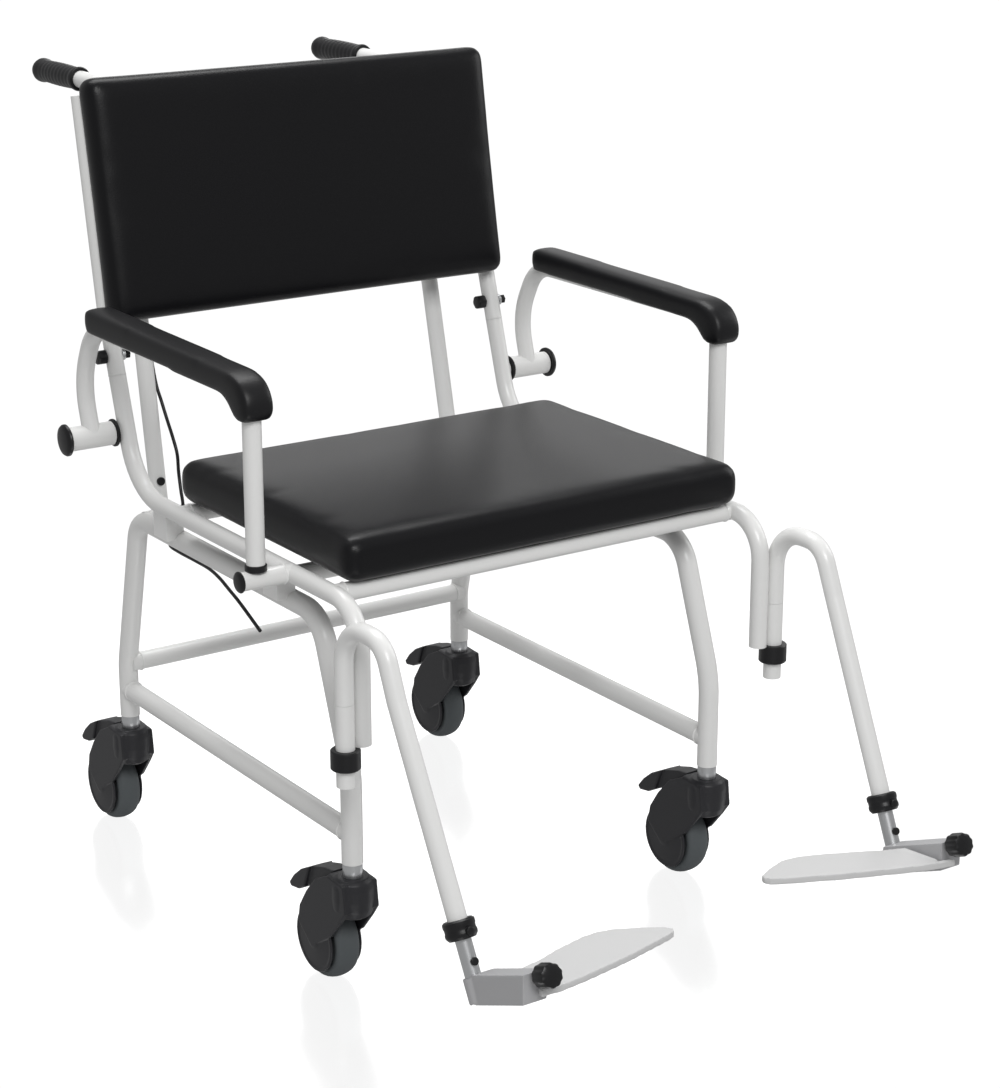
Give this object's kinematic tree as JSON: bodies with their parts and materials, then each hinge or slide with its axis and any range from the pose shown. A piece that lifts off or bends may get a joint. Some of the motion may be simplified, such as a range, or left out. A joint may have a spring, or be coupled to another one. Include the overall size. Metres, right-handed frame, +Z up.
{
  "type": "wheelchair",
  "caption": "Attendant-pushed transit wheelchair with a padded seat and back, flip-up armrests, swing-away footrests with folding plates and braked swivel casters.",
  "frame": {"origin": "centre of the chair's footprint box, on the floor", "axes": "+Z up, the sitter faces -Y, +X is the sitter's left"},
  "size_m": [0.7396, 1.2868, 1.0089],
  "materials": {
    "white_coat": "satin powder coat",
    "black_vinyl": "satin upholstery vinyl",
    "arm_foam": "satin integral foam skin",
    "black_plastic": "satin",
    "caster_plastic": "matte",
    "tyre": "matte",
    "light_plastic": "satin",
    "zinc": "satin",
    "plywood": "raw"
  },
  "bodies": {
    "frame": {"rear_cross_brace": "white_coat", "handle_cross_tube": "white_coat", "front_cross_tube": "white_coat", "seat_cross_tube_front": "white_coat", "seat_cross_tube_rear": "white_coat", "seat_board": "plywood", "seat_cushion": "black_vinyl", "handle_cable": "black_plastic", "leg_frame_right": "white_coat", "side_stretcher_right": "white_coat", "seat_side_right": "white_coat", "push_handle_tube_right": "white_coat", "rail_spacer_front_right": "white_coat", "rail_spacer_rear_right": "white_coat", "push_grip_right": "black_plastic", "arm_pivot_cap_right": "black_plastic", "leg_frame_left": "white_coat", "side_stretcher_left": "white_coat", "seat_side_left": "white_coat", "push_handle_tube_left": "white_coat", "rail_spacer_front_left": "white_coat", "rail_spacer_rear_left": "white_coat", "push_grip_left": "black_plastic", "arm_pivot_cap_left": "black_plastic"},
    "backrest": {"backboard": "plywood", "back_pad": "black_vinyl", "back_tube_right": "white_coat", "back_tube_left": "white_coat"},
    "back_clamp_knob_right": {"back_clamp_knob_right": "black_plastic"},
    "armrest_right": {"arm_tube_right": "white_coat", "arm_pad_right": "arm_foam", "arm_post_saddle_right": "black_plastic"},
    "hanger_right": {"hanger_tube_right": "white_coat", "clamp_collar_right": "black_plastic"},
    "foot_right": {"extension_tube_right": "zinc", "foot_bracket_right": "light_plastic"},
    "footplate_right": {"footplate_right": "light_plastic"},
    "foot_knob_right": {"foot_knob_right": "black_plastic"},
    "caster_front_right": {"caster_fork_front_right": "caster_plastic"},
    "wheel_front_right": {"caster_wheel_front_right": "tyre"},
    "pedal_front_right": {"brake_pedal_front_right": "caster_plastic"},
    "caster_rear_right": {"caster_fork_rear_right": "caster_plastic"},
    "wheel_rear_right": {"caster_wheel_rear_right": "tyre"},
    "pedal_rear_right": {"brake_pedal_rear_right": "caster_plastic"},
    "back_clamp_knob_left": {"back_clamp_knob_left": "black_plastic"},
    "armrest_left": {"arm_tube_left": "white_coat", "arm_pad_left": "arm_foam", "arm_post_saddle_left": "black_plastic"},
    "hanger_left": {"hanger_tube_left": "white_coat", "clamp_collar_left": "black_plastic"},
    "foot_left": {"extension_tube_left": "zinc", "foot_bracket_left": "light_plastic"},
    "footplate_left": {"footplate_left": "light_plastic"},
    "foot_knob_left": {"foot_knob_left": "black_plastic"},
    "caster_front_left": {"caster_fork_front_left": "caster_plastic"},
    "wheel_front_left": {"caster_wheel_front_left": "tyre"},
    "pedal_front_left": {"brake_pedal_front_left": "caster_plastic"},
    "caster_rear_left": {"caster_fork_rear_left": "caster_plastic"},
    "wheel_rear_left": {"caster_wheel_rear_left": "tyre"},
    "pedal_rear_left": {"brake_pedal_rear_left": "caster_plastic"}
  },
  "joints": [
    {"name": "backrest_height", "type": "slide", "parent": "frame", "child": "backrest", "axis": [0, 0.2924, 0.9563], "range_m": [0, 0.04]},
    {"name": "back_knob_right_turn", "type": "hinge", "parent": "backrest", "child": "back_clamp_knob_right", "pos_m": [-0.284, 0.314, 0.66486], "axis": [1, 0, 0], "continuous": true},
    {"name": "armrest_right_lift", "type": "hinge", "parent": "frame", "child": "armrest_right", "pos_m": [-0.33, 0.294, 0.572], "axis": [-1, 0, 0], "range_deg": [0, 95]},
    {"name": "hanger_right_swing", "type": "hinge", "parent": "frame", "child": "hanger_right", "pos_m": [-0.3066, -0.271, 0.4], "axis": [0, 0, -1], "range_deg": [0, 90]},
    {"name": "foot_right_length", "type": "slide", "parent": "hanger_right", "child": "foot_right", "axis": [0.0315, -0.435, -0.8999], "range_m": [0, 0.06]},
    {"name": "footplate_right_fold", "type": "hinge", "parent": "foot_right", "child": "footplate_right", "pos_m": [-0.268, -0.583, 0.178], "axis": [0, -0.9951, 0.0993], "range_deg": [0, 90]},
    {"name": "foot_knob_right_turn", "type": "hinge", "parent": "foot_right", "child": "foot_knob_right", "pos_m": [-0.286, -0.6133, 0.199], "axis": [0, -0.9205, 0.3907], "continuous": true},
    {"name": "caster_front_right_swivel", "type": "hinge", "parent": "frame", "child": "caster_front_right", "pos_m": [-0.261, -0.205, 0.1], "axis": [0, 0, 1], "continuous": true},
    {"name": "wheel_front_right_spin", "type": "hinge", "parent": "caster_front_right", "child": "wheel_front_right", "pos_m": [-0.261, -0.148, 0.05], "axis": [1, 0, 0], "continuous": true},
    {"name": "pedal_front_right_press", "type": "hinge", "parent": "caster_front_right", "child": "pedal_front_right", "pos_m": [-0.261, -0.185, 0.128], "axis": [-1, 0, 0], "range_deg": [0, 6]},
    {"name": "caster_rear_right_swivel", "type": "hinge", "parent": "frame", "child": "caster_rear_right", "pos_m": [-0.261, 0.3615, 0.1], "axis": [0, 0, 1], "continuous": true},
    {"name": "wheel_rear_right_spin", "type": "hinge", "parent": "caster_rear_right", "child": "wheel_rear_right", "pos_m": [-0.261, 0.4185, 0.05], "axis": [1, 0, 0], "continuous": true},
    {"name": "pedal_rear_right_press", "type": "hinge", "parent": "caster_rear_right", "child": "pedal_rear_right", "pos_m": [-0.261, 0.3815, 0.128], "axis": [-1, 0, 0], "range_deg": [0, 6]},
    {"name": "back_knob_left_turn", "type": "hinge", "parent": "backrest", "child": "back_clamp_knob_left", "pos_m": [0.284, 0.314, 0.66486], "axis": [1, 0, 0], "continuous": true},
    {"name": "armrest_left_lift", "type": "hinge", "parent": "frame", "child": "armrest_left", "pos_m": [0.33, 0.294, 0.572], "axis": [-1, 0, 0], "range_deg": [0, 95]},
    {"name": "hanger_left_swing", "type": "hinge", "parent": "frame", "child": "hanger_left", "pos_m": [0.3066, -0.271, 0.4], "axis": [0, 0, 1], "range_deg": [0, 90]},
    {"name": "foot_left_length", "type": "slide", "parent": "hanger_left", "child": "foot_left", "axis": [-0.0315, -0.435, -0.8999], "range_m": [0, 0.06]},
    {"name": "footplate_left_fold", "type": "hinge", "parent": "foot_left", "child": "footplate_left", "pos_m": [0.268, -0.583, 0.178], "axis": [0, 0.9951, -0.0993], "range_deg": [0, 90]},
    {"name": "foot_knob_left_turn", "type": "hinge", "parent": "foot_left", "child": "foot_knob_left", "pos_m": [0.286, -0.6133, 0.199], "axis": [0, -0.9205, 0.3907], "continuous": true},
    {"name": "caster_front_left_swivel", "type": "hinge", "parent": "frame", "child": "caster_front_left", "pos_m": [0.261, -0.205, 0.1], "axis": [0, 0, 1], "continuous": true},
    {"name": "wheel_front_left_spin", "type": "hinge", "parent": "caster_front_left", "child": "wheel_front_left", "pos_m": [0.261, -0.148, 0.05], "axis": [1, 0, 0], "continuous": true},
    {"name": "pedal_front_left_press", "type": "hinge", "parent": "caster_front_left", "child": "pedal_front_left", "pos_m": [0.261, -0.185, 0.128], "axis": [-1, 0, 0], "range_deg": [0, 6]},
    {"name": "caster_rear_left_swivel", "type": "hinge", "parent": "frame", "child": "caster_rear_left", "pos_m": [0.261, 0.3615, 0.1], "axis": [0, 0, 1], "continuous": true},
    {"name": "wheel_rear_left_spin", "type": "hinge", "parent": "caster_rear_left", "child": "wheel_rear_left", "pos_m": [0.261, 0.4185, 0.05], "axis": [1, 0, 0], "continuous": true},
    {"name": "pedal_rear_left_press", "type": "hinge", "parent": "caster_rear_left", "child": "pedal_rear_left", "pos_m": [0.261, 0.3815, 0.128], "axis": [-1, 0, 0], "range_deg": [0, 6]}
  ]
}
